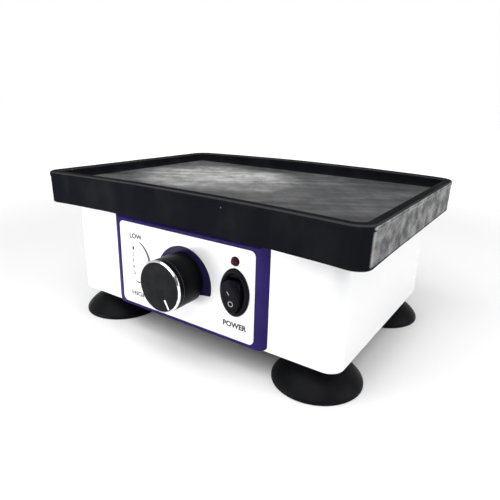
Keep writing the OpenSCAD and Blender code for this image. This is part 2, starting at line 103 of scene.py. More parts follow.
def add_camera():
    """The camera of the main view. It looks down by its pitch, then turns to the left by its yaw."""
    camera = bpy.data.objects.new("camera", bpy.data.cameras.new("camera"))
    scene.collection.objects.link(camera)
    camera.data.lens = LENS
    camera.data.sensor_width = SENSOR
    camera.data.shift_x, camera.data.shift_y = CAMERA_SHIFT
    camera.data.clip_start = CAMERA_CLIP_START
    turn = Matrix.Rotation(CAMERA_YAW, 4, "Z") @ Matrix.Rotation(math.pi / 2 - CAMERA_PITCH, 4, "X")
    roll = Matrix.Rotation(CAMERA_ROLL, 4, "Z")
    camera.matrix_world = Matrix.Translation(CAMERA_PLACE * MM) @ turn @ roll
    scene.camera = camera


add_camera()


# ---- materials ----

COAT_ROUGHNESS = 0.12
# Places of the colour sockets on a Mix node.
MIX_A, MIX_B, MIX_RESULT = 6, 7, 2


class Finish:
    """A material being built: its shader, and short ways to add noise, ramps and bumps in object space."""

    def __init__(self, name, colour, roughness, metallic=0.0, specular=0.5, coat=0.0):
        self.material = bpy.data.materials.new(name)
        self.material.use_nodes = True
        self.tree = self.material.node_tree
        self.shader = self.tree.nodes["Principled BSDF"]
        self.set("Base Color", (*colour, 1.0))
        self.set("Roughness", roughness)
        self.set("Metallic", metallic)
        self.set("Specular IOR Level", specular)
        self.set("Coat Weight", coat)
        self.set("Coat Roughness", COAT_ROUGHNESS)
        self.coords = self.tree.nodes.new("ShaderNodeTexCoord")
        self.last_normal = None

    def set(self, name, value):
        self.shader.inputs[name].default_value = value

    def link(self, source, target):
        self.tree.links.new(source, target)

    def mapped(self, stretch=(1, 1, 1), turn=0.0, move=(0, 0, 0)):
        """Object coordinates, turned about Z and then scaled."""
        mapping = self.tree.nodes.new("ShaderNodeMapping")
        mapping.inputs["Scale"].default_value = stretch
        mapping.inputs["Location"].default_value = move
        spin = self.tree.nodes.new("ShaderNodeMapping")
        spin.inputs["Rotation"].default_value = (0, 0, turn)
        self.link(self.coords.outputs["Object"], spin.inputs["Vector"])
        self.link(spin.outputs["Vector"], mapping.inputs["Vector"])
        return mapping.outputs["Vector"]

    def noise(self, scale, detail=3.0, rough=0.55, **place):
        node = self.tree.nodes.new("ShaderNodeTexNoise")
        node.inputs["Scale"].default_value = scale
        node.inputs["Detail"].default_value = detail
        node.inputs["Roughness"].default_value = rough
        self.link(self.mapped(**place), node.inputs["Vector"])
        return node.outputs["Fac"]

    def spread(self, source, low, high, to_low=0.0, to_high=1.0):
        """Maps low..high of a value to to_low..to_high, and clamps it."""
        node = self.tree.nodes.new("ShaderNodeMapRange")
        node.interpolation_type = "SMOOTHSTEP"
        limits = {"From Min": low, "From Max": high, "To Min": to_low, "To Max": to_high}
        for name, value in limits.items():
            node.inputs[name].default_value = value
        self.link(source, node.inputs["Value"])
        return node.outputs["Result"]

    def maths(self, operation, a, b):
        """A and b may each be a number or a socket."""
        node = self.tree.nodes.new("ShaderNodeMath")
        node.operation = operation
        for socket, value in zip(node.inputs, (a, b)):
            if isinstance(value, (int, float)):
                socket.default_value = value
            else:
                self.link(value, socket)
        return node.outputs["Value"]

    def mix(self, amount, a, b):
        """Colour a where amount is 0 and colour b where it is 1."""
        node = self.tree.nodes.new("ShaderNodeMix")
        node.data_type = "RGBA"
        self.link(amount, node.inputs["Factor"])
        for socket, value in zip((node.inputs[MIX_A], node.inputs[MIX_B]), (a, b)):
            if isinstance(value, tuple):
                socket.default_value = (*value, 1.0)
            else:
                self.link(value, socket)
        return node.outputs[MIX_RESULT]

    def axis(self, source, name):
        """One axis of the object coordinates or of the normal."""
        node = self.tree.nodes.new("ShaderNodeSeparateXYZ")
        self.link(self.coords.outputs[source], node.inputs[0])
        return node.outputs[name]

    def colour_from(self, socket):
        self.link(socket, self.shader.inputs["Base Color"])

    def roughness_from(self, socket):
        self.link(socket, self.shader.inputs["Roughness"])

    def bump(self, height, depth_mm, strength=0.5):
        """Adds relief; a second call stacks on the first."""
        node = self.tree.nodes.new("ShaderNodeBump")
        node.inputs["Strength"].default_value = strength
        node.inputs["Distance"].default_value = depth_mm * MM
        self.link(height, node.inputs["Height"])
        if self.last_normal:
            self.link(self.last_normal, node.inputs["Normal"])
        self.last_normal = node.outputs["Normal"]
        self.link(self.last_normal, self.shader.inputs["Normal"])


def scaled(colour, factor):
    """The colour, lighter or darker by a factor."""
    return tuple(c * factor for c in colour)


def moulded(
    name, colour, roughness, grain=2500, depth=0.02, blotch=0.12, smear=0.18, stretch=(1, 1, 1), **shader
):
    """Moulded or painted surface: fine grain, uneven gloss and a slow change of tone.

    grain is how fine the grain is, and depth its depth in millimetres. blotch and smear are the shares by
    which the tone and the gloss change.
    """
    finish = Finish(name, colour, roughness, **shader)
    tone = finish.noise(28, detail=5)
    dark, light = scaled(colour, 1 - blotch), scaled(colour, 1 + blotch)
    finish.colour_from(finish.mix(finish.spread(tone, 0.35, 0.65), dark, light))
    gloss = finish.noise(90, detail=6, stretch=stretch, move=(0.3, 0.1, 0))
    shiny, dull = roughness * (1 - smear), min(1, roughness * (1 + smear))
    finish.roughness_from(finish.spread(gloss, 0.3, 0.7, shiny, dull))
    finish.bump(finish.noise(grain, detail=2, stretch=stretch), depth)
    return finish


def metal(name, colour, roughness, stretch=(1, 1, 8), grain=900, depth=0.01):
    """Machined or plated metal: tool marks along one direction and slight tarnish."""
    return moulded(name, colour, roughness, grain, depth, blotch=0.08, stretch=stretch, metallic=1.0)


RUBBER = (0.0060, 0.0070, 0.0090)
# Pale colour of the dust, also used for the painted sheen and highlights on the tray.
DUST_AND_SHEEN = (0.60, 0.60, 0.603)
RUBBER_ROUGHNESS = 0.5
# Where the kinds of dust and painted sheen begin, in metres: each goes from none at the first value to all at
# the second.
FLOOR_FADE = (0.0995, 0.0985)
SIDE_FADE = (0.108, 0.112)
SKIRT_EDGE_FADE = (0.0836, 0.0848)
RIM_EDGE_FADE = (0.1028, 0.1034)


def dust_and_sheen_on_floor(finish, floor, streak):
    """A thin layer and a patch of wear left of the centre and a little behind it, both partly dust and partly
    painted sheen of the bright surroundings, and streaks left by wiping.
    """
    patch = finish.tree.nodes.new("ShaderNodeTexGradient")
    patch.gradient_type = "SPHERICAL"
    finish.link(finish.mapped(stretch=(12.8, 16.5, 0), move=(0.50, -0.245, 0)), patch.inputs["Vector"])
    ragged = finish.maths("MULTIPLY", finish.noise(28, detail=6, rough=0.65), 0.34)
    # Painted sheen: the patch also stands in for the bright surroundings reflected in the floor.
    worn_and_sheen = finish.spread(finish.maths("ADD", patch.outputs["Fac"], ragged), 0.17, 0.62)
    cross = finish.noise(75, detail=6, rough=0.65, stretch=(1, 1.6, 1), turn=math.radians(48))
    cloud = finish.noise(16, detail=4, move=(0.4, 0.2, 0))
    along = finish.spread(streak, 0.32, 0.68, 0.5, 1.2)
    streaks = finish.maths("MULTIPLY", along, finish.spread(cross, 0.3, 0.7, 0.7, 1.2))
    base = finish.spread(cloud, 0.3, 0.7, 0.12, 0.175)
    layer = finish.maths("ADD", finish.maths("MULTIPLY", worn_and_sheen, 0.47), base)
    return finish.maths("MULTIPLY", finish.maths("MULTIPLY", layer, streaks), floor)


def dust_and_sheen_on_side(finish, height):
    """Dust and painted sheen on the right side, which faces the strong light. It starts at a painted
    highlight line just past the corner and ends above the lower edge.
    """
    facing_right = finish.axis("Normal", "X")
    outside = finish.spread(finish.axis("Object", "X"), *SIDE_FADE)
    # Painted sheen: only the side that faces the light is made pale.
    to_right = finish.maths("MULTIPLY", finish.spread(facing_right, 0.90, 0.955), outside)
    rubbed = finish.noise(75, detail=8, rough=0.65, stretch=(1, 1, 1.4))
    # Painted highlight: a pale line where the rounded corner turns towards the light.
    highlight_start = finish.spread(facing_right, 0.93, 0.96)
    line = finish.maths("MULTIPLY", highlight_start, finish.spread(facing_right, 0.99, 0.97))
    layer = finish.spread(rubbed, 0.34, 0.68, 0.13, 0.44)
    layer = finish.maths("ADD", layer, finish.maths("MULTIPLY", line, 0.14))
    lower_edge = finish.spread(height, *SKIRT_EDGE_FADE, 0.08, 1.0)
    return finish.maths("MULTIPLY", finish.maths("MULTIPLY", layer, to_right), lower_edge)


def dust_film_and_edge_highlight(finish, up, facing_up, height):
    """A thin film of dust over everything, and pale rim edges, partly wear and partly painted highlight where
    the rounded rim catches the light.
    """
    film = finish.spread(finish.noise(45, detail=6, stretch=(1, 1, 0.5)), 0.4, 0.75, 0.0, 0.009)
    top_film = finish.maths("MULTIPLY", up, 0.004)
    # Painted highlight: the slanting faces of the rim's rounded edges are made pale.
    edge_highlight_start = finish.spread(facing_up, 0.25, 0.45)
    edge = finish.maths("MULTIPLY", edge_highlight_start, finish.spread(facing_up, 0.93, 0.8))
    edge = finish.maths("MULTIPLY", edge, finish.spread(height, *RIM_EDGE_FADE, 0.0, 0.05))
    return finish.maths("ADD", film, top_film), edge


def single_specks(finish):
    """Small pale specks, far apart."""
    speck = finish.tree.nodes.new("ShaderNodeTexVoronoi")
    speck.inputs["Scale"].default_value = 62
    finish.link(finish.mapped(), speck.inputs["Vector"])
    return finish.spread(speck.outputs["Distance"], 0.026, 0.018, 0.0, 0.4)


def tray_finish():
    """Black rubber. Pale dust lies on the floor and the right side, mixed there with painted sheen, and the
    rim's edges carry painted highlight; wiping has left streaks.
    """
    finish = Finish("tray rubber", RUBBER, RUBBER_ROUGHNESS)
    facing_up = finish.axis("Normal", "Z")
    height = finish.axis("Object", "Z")
    up = finish.spread(facing_up, 0.9, 0.99)
    floor = finish.maths("MULTIPLY", up, finish.spread(height, *FLOOR_FADE))
    streak = finish.noise(15, detail=6, rough=0.6, stretch=(1, 5, 1), turn=math.radians(-34))
    floor_dust_and_sheen = dust_and_sheen_on_floor(finish, floor, streak)
    film, edge = dust_film_and_edge_highlight(finish, up, facing_up, height)
    pale = finish.maths("ADD", finish.maths("ADD", floor_dust_and_sheen, dust_and_sheen_on_side(finish, height)), film)
    pale = finish.maths("MAXIMUM", finish.maths("ADD", pale, edge), single_specks(finish))
    finish.colour_from(finish.mix(pale, RUBBER, DUST_AND_SHEEN))

    # The floor is wiped smoother than the rest, except where the dust and painted sheen lie on it.
    gloss = finish.maths("ADD", finish.maths("MULTIPLY", floor, -0.16), RUBBER_ROUGHNESS)
    finish.roughness_from(finish.maths("ADD", gloss, finish.maths("MULTIPLY", floor_dust_and_sheen, 0.4)))
    shine = finish.maths("ADD", finish.maths("MULTIPLY", floor, 0.012), 0.002)
    finish.link(shine, finish.shader.inputs["Specular IOR Level"])
    finish.bump(finish.noise(2200, detail=2), 0.03, 0.4)
    finish.bump(streak, 0.05, 0.25)
    return finish


def knob_face_finish():
    """Face turned on a lathe: fine rings round the knob's axis."""
    finish = Finish("knob face", (0.012, 0.012, 0.013), 0.48, specular=0.012)
    rings = finish.tree.nodes.new("ShaderNodeTexWave")
    rings.wave_type = "RINGS"
    rings.rings_direction = "Y"
    rings.inputs["Scale"].default_value = 900
    rings.inputs["Distortion"].default_value = 1.5
    rings.inputs["Detail"].default_value = 3
    finish.link(finish.mapped(move=(-knob_centre_x * MM, 0, -knob_centre_z * MM)), rings.inputs["Vector"])
    finish.bump(rings.outputs["Fac"], 0.012, 0.5)
    tone = finish.spread(finish.noise(160, detail=4), 0.35, 0.65)
    finish.colour_from(finish.mix(tone, (0.0108, 0.0112, 0.0128), (0.0145, 0.0150, 0.0166)))
    return finish


def lamp_finish():
    """Dark red plastic lens, unlit."""
    finish = moulded("lamp lens", (0.050, 0.0035, 0.012), 0.2, grain=900, depth=0.01, specular=0.12)
    finish.set("Transmission Weight", 0.1)
    finish.set("IOR", 1.49)
    return finish


def board_finish():
    """Green solder mask with paler copper tracks under it."""
    finish = moulded("board", (0.012, 0.10, 0.035), 0.3, coat=0.6)
    tracks = finish.tree.nodes.new("ShaderNodeTexBrick")
    tracks.inputs["Scale"].default_value = 130
    tracks.inputs["Mortar Size"].default_value = 0.06
    tracks.inputs["Color1"].default_value = (0.010, 0.085, 0.03, 1)
    tracks.inputs["Color2"].default_value = (0.012, 0.10, 0.035, 1)
    tracks.inputs["Mortar"].default_value = (0.03, 0.19, 0.07, 1)
    finish.link(finish.mapped(), tracks.inputs["Vector"])
    finish.colour_from(tracks.outputs["Color"])
    return finish


def laminated_finish():
    """Stacked iron sheets under varnish."""
    finish = moulded("iron core", (0.05, 0.05, 0.052), 0.45, coat=0.3)
    sheets = finish.tree.nodes.new("ShaderNodeTexWave")
    sheets.bands_direction = "Y"
    sheets.inputs["Scale"].default_value = 320
    finish.link(finish.mapped(), sheets.inputs["Vector"])
    finish.bump(sheets.outputs["Fac"], 0.1, 0.6)
    return finish


def wound_finish():
    """Enamelled copper wire, wound in close turns."""
    finish = moulded("copper wire", (0.55, 0.20, 0.07), 0.3, metallic=1.0)
    turns = finish.tree.nodes.new("ShaderNodeTexWave")
    turns.bands_direction = "Z"
    turns.inputs["Scale"].default_value = 420
    finish.link(finish.mapped(), turns.inputs["Vector"])
    finish.bump(turns.outputs["Fac"], 0.2, 0.8)
    return finish


def even_white(name, colour, roughness, **more):
    """A smooth white surface with hardly any change of tone."""
    return moulded(name, colour, roughness, depth=0.004, **more)


def black_plastic(name, colour, roughness, grain, depth, specular=0.04):
    """A matt black surface that reflects little."""
    return moulded(name, colour, roughness, grain=grain, depth=depth, specular=specular)


BLACK = (0.0062, 0.0063, 0.0092)
KNOB_BLACK = (0.0028, 0.0030, 0.0042)
FOOT_BLACK = (0.0045, 0.0048, 0.0060)
VIOLET = (0.0225, 0.0150, 0.090)
CASING_WHITE = (0.82, 0.82, 0.83)
LABEL_WHITE = (0.80, 0.80, 0.81)

finishes = {
    "casing": even_white("casing", CASING_WHITE, 0.24, grain=1200, blotch=0.002, smear=0.03, coat=0.3),
    "base": moulded("base", (0.02, 0.02, 0.022), 0.5, grain=1800, depth=0.05),
    "panel": moulded("panel", VIOLET, 0.34, grain=2600, depth=0.012, specular=0.02),
    "label": even_white("label", LABEL_WHITE, 0.3, grain=3000, blotch=0.003, smear=0.05),
    "lamp": lamp_finish(),
    "black_plastic": black_plastic("black plastic", BLACK, 0.36, grain=2600, depth=0.015),
    "knob": black_plastic("knob", KNOB_BLACK, 0.36, grain=3200, depth=0.01),
    "bright_ring": metal("bright ring", (0.88, 0.88, 0.90), 0.14, depth=0.004),
    "steel": metal("steel", (0.55, 0.56, 0.58), 0.3),
    "aluminium": metal("aluminium", (0.66, 0.67, 0.69), 0.34, stretch=(8, 1, 1)),
    "bronze": metal("bronze", (0.52, 0.31, 0.13), 0.4, stretch=(1, 1, 1), grain=2400, depth=0.02),
    "brass": metal("brass", (0.68, 0.48, 0.19), 0.3),
    "cast_iron": metal("cast iron", (0.16, 0.16, 0.17), 0.6, stretch=(1, 1, 1), grain=1200, depth=0.08),
    "foot_rubber": black_plastic("foot rubber", FOOT_BLACK, 0.42, grain=1500, depth=0.03, specular=0.05),
    "tray_rubber": tray_finish(),
    "belt_rubber": moulded("belt rubber", (0.012, 0.012, 0.012), 0.7, grain=1500, depth=0.05),
    "board": board_finish(),
    "blue_sleeve": moulded("blue sleeve", (0.01, 0.025, 0.16), 0.25, grain=900, coat=0.3),
    "copper": wound_finish(),
    "iron_core": laminated_finish(),
    "nylon": moulded("nylon", (0.72, 0.70, 0.62), 0.45, blotch=0.05),
    "fuse_glass": moulded("fuse glass", (0.8, 0.82, 0.84), 0.05, grain=600, depth=0.004, blotch=0.03),
}
finishes["fuse_glass"].set("Transmission Weight", 0.9)


def ink(name, colour, roughness=0.4, **more):
    """Printed ink, nearly smooth."""
    return moulded(name, colour, roughness, grain=3000, depth=0.004, **more)


knob_face = knob_face_finish()
ink_dark = ink("dark ink", (0.016, 0.016, 0.020))
ink_pale = ink("pale grey ink", (0.62, 0.62, 0.64), blotch=0.06)
ink_white = ink("white ink", (0.86, 0.86, 0.86), blotch=0.04)
# The half ring's violet is darker than the panel's: painted shade of the knob over the same violet.
ring_violet = moulded("violet ring", (0.0105, 0.0090, 0.040), 0.24, grain=2600, depth=0.008, specular=0.05)
mark_grey = ink("mark grey", (0.42, 0.42, 0.43), blotch=0.04)
# Painted highlight: the pale line in the knob's groove, where its edge catches the light.
groove_highlight_grey = ink("grey line", (0.12, 0.12, 0.125), roughness=0.35)


# ---- mesh helpers ----


def add_mesh(name, mesh, finish, body, smooth=35):
    """Makes an object of a bmesh in millimetres, shades it and lets it ride on a body."""
    bmesh.ops.recalc_face_normals(mesh, faces=mesh.faces)
    bmesh.ops.scale(mesh, vec=(MM, MM, MM), verts=mesh.verts)
    data = bpy.data.meshes.new(name)
    mesh.to_mesh(data)
    mesh.free()
    data.polygons.foreach_set("use_smooth", [True] * len(data.polygons))
    data.set_sharp_from_angle(angle=math.radians(smooth))
    data.materials.append(finish.material)
    piece = bpy.data.objects.new(name, data)
    scene.collection.objects.link(piece)
    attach(piece, body)
    return piece


def skin(mesh, rings, wrap=False, cap_first=False, cap_last=False):
    """Joins a row of rings with faces. A ring is a list of points, or one point where the surface closes."""
    rows = [[mesh.verts.new(point) for point in ring] for ring in rings]
    pairs = list(zip(rows, rows[1:]))
    if wrap:
        pairs.append((rows[-1], rows[0]))
    for first, second in pairs:
        count = max(len(first), len(second))
        for i in range(count):
            j = (i + 1) % count
            corners = [first[i % len(first)], first[j % len(first)]]
            corners += [second[j % len(second)], second[i % len(second)]]
            corners = list(dict.fromkeys(corners))
            if len(corners) > 2:
                mesh.faces.new(corners)
    if cap_first:
        mesh.faces.new(rows[0])
    if cap_last:
        mesh.faces.new(rows[-1])


def skinned(name, rings, finish, body, slot, smooth=35, **caps):
    """Makes an object from a row of rings."""
    mesh = bmesh.new()
    skin(mesh, rings, **caps)
    return add_mesh(name, mesh, finish, body, smooth)


def lathe_rings(profile, place, steps=96):
    """Turns a profile of (radius, height) round an axis. place(across, up, height) gives a point."""
    rings = []
    for radius, height in profile:
        turns = [0] if radius == 0 else [2 * math.pi * i / steps for i in range(steps)]
        rings.append([place(radius * math.cos(a), radius * math.sin(a), height) for a in turns])
    return rings


def facing_front(x, z, y):
    """A place for lathe_rings on a front-to-back axis: height is measured from y towards the back."""
    return lambda across, up, height: (x + across, y + height, z + up)


def round_rect(w, d, r, arc=10, side=40):
    """Points round a rectangle with round corners, always the same number of them."""
    corners = []
    for k, (sx, sy) in enumerate([(1, -1), (1, 1), (-1, 1), (-1, -1)]):
        start = math.radians(90 * (k - 1))
        centre = (sx * (w / 2 - r), sy * (d / 2 - r))
        turns = [start + math.radians(90) * i / arc for i in range(arc + 1)]
        corners.append([(centre[0] + r * math.cos(a), centre[1] + r * math.sin(a)) for a in turns])
    points = []
    for k, corner in enumerate(corners):
        points += corner
        (x0, y0), (x1, y1) = corner[-1], corners[(k + 1) % 4][0]
        points += [(x0 + (x1 - x0) * i / side, y0 + (y1 - y0) * i / side) for i in range(1, side)]
    return points


def superellipse(w, h, power, count=96):
    """Points round an oval; a high power makes it nearly a rectangle."""
    points = []
    for i in range(count):
        c, s = math.cos(2 * math.pi * i / count), math.sin(2 * math.pi * i / count)
        x = math.copysign(abs(c) ** (2 / power), c) * w / 2
        z = math.copysign(abs(s) ** (2 / power), s) * h / 2
        points.append((x, z))
    return points


def cylinder_cutter(start, end, radius, steps=32):
    """A plain cylinder from one point to another, for cutting holes."""
    along = (end - start).normalized()
    across = along.orthogonal().normalized()
    other = along.cross(across)
    rings = []
    for centre in (start, end):
        turns = [2 * math.pi * i / steps for i in range(steps)]
        rings.append([centre + radius * (math.cos(a) * across + math.sin(a) * other) for a in turns])
    mesh = bmesh.new()
    skin(mesh, rings, cap_first=True, cap_last=True)
    return mesh


def carve(mesh, cutter):
    """The mesh with the cutter's room taken out of it."""
    holders = []
    for name, part in (("carved", mesh), ("cutter", cutter)):
        bmesh.ops.recalc_face_normals(part, faces=part.faces)
        data = bpy.data.meshes.new(name)
        part.to_mesh(data)
        part.free()
        holders.append(bpy.data.objects.new(name, data))
        scene.collection.objects.link(holders[-1])
    boolean = holders[0].modifiers.new("hole", "BOOLEAN")
    boolean.operation = "DIFFERENCE"
    boolean.solver = "EXACT"
    boolean.object = holders[1]
    bpy.context.view_layer.update()
    result = bpy.data.meshes.new_from_object(holders[0].evaluated_get(bpy.context.evaluated_depsgraph_get()))
    mesh = bmesh.new()
    mesh.from_mesh(result)
    for data in (result, holders[0].data, holders[1].data):
        bpy.data.meshes.remove(data)
    return mesh


# ---- tray ----

TRAY_CORNER_R = 11.0
LEAST_CORNER_R = 2.0
# How far the rim's ends hang below its middle.
RIM_SAG = 2.07
# How far the skirt's front right corner hangs, growing from a depth under the rim to the skirt's lower edge.
CORNER_DROOP = 1.0
DROOP_START = 4.0
SKIRT_DEPTH = 22.0
# Rings lower than this belong to the skirt's free edge.
FREE_EDGE = 20.0
# How uneven the rim and the skirt's free edge are.
RIM_WAVE, SKIRT_WAVE = 0.18, 0.35
# The tray's section from the bottom of the skirt, over the lip and down to the floor: inset, depth under the
# rim, and how much of the sag reaches it.
TRAY_SECTION = [
    (6.0, SKIRT_DEPTH, 1), (1.1, SKIRT_DEPTH, 1), (0.75, 21.8, 1), (0.65, 21.2, 1), (0.5, 12.0, 1),
    (0.35, 3.9, 1), (0.27, 3.5, 1), (0.05, 3.1, 1), (0.0, 2.6, 1), (0.0, 1.6, 1), (0.2, 0.9, 1),
    (0.7, 0.3, 1), (1.5, 0.05, 1), (2.4, 0.0, 1), (3.9, 0.0, 1), (4.8, 0.12, 1), (5.5, 0.5, 1), (5.9, 1.2, 1),
    (6.0, 2.2, 1), (6.25, 5.0, 0.5), (6.6, 7.2, 0.1), (7.2, 8.4, 0), (8.4, 9.0, 0),
]
TRAY_UNDERSIDE = [(6.0, SKIRT_DEPTH, 1), (6.0, 18.0, 0.5), (6.0, 14.6, 0), (6.6, 14.0, 0)]


def tray_ring(inset, depth, share, wave):
    """One ring of the tray. wave makes the free edges a little uneven, as soft rubber is."""
    radius = max(TRAY_CORNER_R - inset, LEAST_CORNER_R)
    points = []
    for i, (x, y) in enumerate(round_rect(tray_w - 2 * inset, tray_d - 2 * inset, radius)):
        sag = share * RIM_SAG * (2 * x / tray_w) ** 2
        corner = max(0.0, 2 * x / tray_w) ** 8 * max(0.0, -2 * y / tray_d) ** 4
        sag += share * CORNER_DROOP * corner * max(0.0, depth - DROOP_START) / (SKIRT_DEPTH - DROOP_START)
        points.append((tray_centre.x + x, tray_centre.y + y, tray_high.z - depth - sag + share * wave[i]))
    return points


def smooth_waves(count, size, seed):
    """A closed row of small random heights made of a few sine waves, never above zero."""
    chance = random.Random(seed)
    waves = [(k, chance.uniform(0, 2 * math.pi), chance.uniform(0.3, 1.0)) for k in (3, 5, 8, 13, 21, 34)]
    total = sum(weight for _, _, weight in waves)
    turns = [2 * math.pi * i / count for i in range(count)]
    return [size * (sum(w * math.sin(k * a + p) for k, p, w in waves) / total - 1) / 2 for a in turns]


def add_tray():
    """The rubber tray, as one closed skin from the underside round the skirt and the rim to the floor."""
    count = len(round_rect(tray_w, tray_d, TRAY_CORNER_R))
    rim_wave = smooth_waves(count, RIM_WAVE, seed=4)
    skirt_wave = [-h for h in smooth_waves(count, SKIRT_WAVE, seed=9)]
    level = [0.0] * count
    rings = []
    for inset, depth, share in TRAY_SECTION:
        wave = skirt_wave if depth > FREE_EDGE else rim_wave
        rings.append(tray_ring(inset, depth, share, wave))
    under = []
    for inset, depth, share in TRAY_UNDERSIDE:
        under.append(tray_ring(inset, depth, share, skirt_wave if depth > FREE_EDGE else level))
    # The underside's first ring is the skirt's first ring, so it is left out.
    rings = under[:0:-1] + rings
    look = finishes["tray_rubber"]
    tray = skinned("tray_rubber", rings, look, "tray", "tray_rubber", 40, cap_first=True, cap_last=True)
    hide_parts("tray")


add_tray()


# ---- print on the label ----

INK_T = 0.06
# How far the ink reaches into the label, so that no gap shows under it.
INK_ROOT = 0.02
# Words: name, text, low and high corner of the box that each fills, and how much its strokes are thickened.
WORDS = [
    ("word_low", "LOW", (-44.9, 68.1), (-33.6, 71.6), 0.042),
    ("word_high", "HIGH", (-45.6, 27.8), (-31.6, 31.1), 0.028),
    ("word_power", "POWER", (32.3, 28.9), (49.2, 32.6), 0.04),
]
NUMBER_COUNT = 5
NUMBER_SIZE = (1.8, 2.5)
NUMBER_BOLD = 0.02
# Height of the first number and the step down to the next.
NUMBER_TOP, NUMBER_STEP = 60.2, 4.3
# Place of the column of numbers, and how far it bows to the left.
NUMBER_LEFT, NUMBER_BOW = -42.6, 1.2


def on_label(x, z, lift=0.0):
    """A point on the label's face, given from the casing's middle."""
    return (casing_x + x, label_y - lift, z)


def ribbon(name, points, widths, finish, slot="label"):
    """A thin raised line along points of the label, with its own width at each point."""
    rings = []
    for i, (x, z) in enumerate(points):
        before, after = points[max(i - 1, 0)], points[min(i + 1, len(points) - 1)]
        along = Vector((after[0] - before[0], after[1] - before[1])).normalized()
        side = Vector((-along.y, along.x)) * widths[i] / 2
        edges = [(x + side.x, z + side.y), (x - side.x, z - side.y)]
        top = [on_label(*edge, INK_T) for edge in edges]
        root = [on_label(*edge, -INK_ROOT) for edge in reversed(edges)]
        rings.append(top + root)
    return skinned(name, rings, finish, "housing", slot, cap_first=True, cap_last=True)


def arc_points(cx, cz, r, start, end, steps=40):
    """Points along an arc between two angles in degrees."""
    turns = [math.radians(start + (end - start) * i / steps) for i in range(steps + 1)]
    return [(cx + r * math.cos(a), cz + r * math.sin(a)) for a in turns]


def lettering(name, text, low, high, bold):
    """Dark words fitted to a box on the label, from its low corner to its high corner."""
    curve = bpy.data.curves.new(name, "FONT")
    curve.body = text
    curve.offset = bold
    curve.resolution_u = 5
    curve.extrude = 0.01
    holder = bpy.data.objects.new(name + "_outline", curve)
    scene.collection.objects.link(holder)
    bpy.context.view_layer.update()
    flat = bpy.data.meshes.new_from_object(holder.evaluated_get(bpy.context.evaluated_depsgraph_get()))
    bpy.data.objects.remove(holder)
    mesh = bmesh.new()
    mesh.from_mesh(flat)
    bpy.data.meshes.remove(flat)
    bmesh.ops.remove_doubles(mesh, verts=mesh.verts, dist=1e-4)
    xs = [v.co.x for v in mesh.verts]
    ys = [v.co.y for v in mesh.verts]
    for v in mesh.verts:
        x = low[0] + (v.co.x - min(xs)) / (max(xs) - min(xs)) * (high[0] - low[0])
        z = low[1] + (v.co.y - min(ys)) / (max(ys) - min(ys)) * (high[1] - low[1])
        v.co = on_label(x, z, INK_T if v.co.z > 0 else -INK_ROOT)
    return add_mesh(name, mesh, ink_dark, "housing")


def add_print():
    """The words, and the scale beside the knob: a tapered arc with a hook, a pale wedge and numbers."""
    for name, text, low, high, bold in WORDS:
        lettering(name, text, low, high, bold)

    arc = arc_points(-43.0, 52.4, 15.6, 64, -72)
    widths = [0.8 + 1.4 * math.sin(math.pi * i / (len(arc) - 1)) for i in range(len(arc))]
    ribbon("scale_arc", arc, widths, ink_dark)
    hook = arc_points(-38.7, 40.6, 2.7, -35, -150, steps=16)
    ribbon("scale_hook", hook, [1.2 - 0.6 * i / (len(hook) - 1) for i in range(len(hook))], ink_dark)
    wedge = arc_points(-43.2, 51.6, 10.6, 60, -62)
    ribbon("scale_wedge", wedge, [0.3 + 1.5 * i / (len(wedge) - 1) for i in range(len(wedge))], ink_pale)
    for i in range(NUMBER_COUNT):
        x = NUMBER_LEFT - NUMBER_BOW * math.sin(math.pi * (i + 0.6) / NUMBER_COUNT)
        z = NUMBER_TOP - NUMBER_STEP * i
        high = (x + NUMBER_SIZE[0], z + NUMBER_SIZE[1])
        lettering(f"scale_number_{i + 1}", str(i + 1), (x, z), high, NUMBER_BOLD)


add_print()


HALF_RING_X, HALF_RING_Z = 1.6, 49.4
HALF_RING_OUTER, HALF_RING_INNER = 21.6, 12.5
# The half ring's two ends are cut along lines that rise outwards, and stand this high this far to the side.
CUT_Z, CUT_X = 43.4, 14.3
CUT_SLOPE = 0.145
HALF_RING_STEPS = 96


def half_ring_end(radius):
    """Angle below level at which a circle of the half ring meets its cut."""
    angle = 0.0
    for _ in range(20):
        cut_z = CUT_Z + CUT_SLOPE * (radius * math.cos(angle) - CUT_X)
        angle = math.asin((HALF_RING_Z - cut_z) / radius)
    return angle


def add_half_ring():
    """The violet half ring round the knob, cut a little below its centre, with a dark line of painted shade
    round it.
    """
    outer, inner = HALF_RING_OUTER, HALF_RING_INNER
    section = [(outer, -0.1), (outer, 0.35), (outer - 0.3, 0.6), (outer - 1.2, 0.62)]
    section += [(inner + 1.0, 0.3), (inner, 0.25), (inner, -0.1)]
    rings = []
    for i in range(HALF_RING_STEPS + 1):
        ring = []
        for radius, lift in section:
            dip = half_ring_end(radius)
            a = -dip + (math.pi + 2 * dip) * i / HALF_RING_STEPS
            x, z = HALF_RING_X + radius * math.cos(a), HALF_RING_Z + radius * math.sin(a)
            ring.append(on_label(x, z, lift))
        rings.append(ring)
    skinned("knob_half_ring", rings, ring_violet, "housing", "panel", cap_first=True, cap_last=True)
    dip = math.degrees(half_ring_end(outer))
    # Painted shade: a dark line along the outer edge, where the raised ring's wall meets the label.
    edge = arc_points(HALF_RING_X, HALF_RING_Z, outer + 0.15, -dip, 180 + dip, steps=80)
    ribbon("knob_half_ring_edge", edge, [0.3] * len(edge), ink_dark, slot="panel")


add_half_ring()


# ---- knob ----

# How much smaller the grip's radius is at its back than at its front.
KNOB_TAPER = 0.3
# Where the pointer stands at rest, in degrees clockwise from the top.
KNOB_REST = 150
KNOB_BORE_R = 3.02
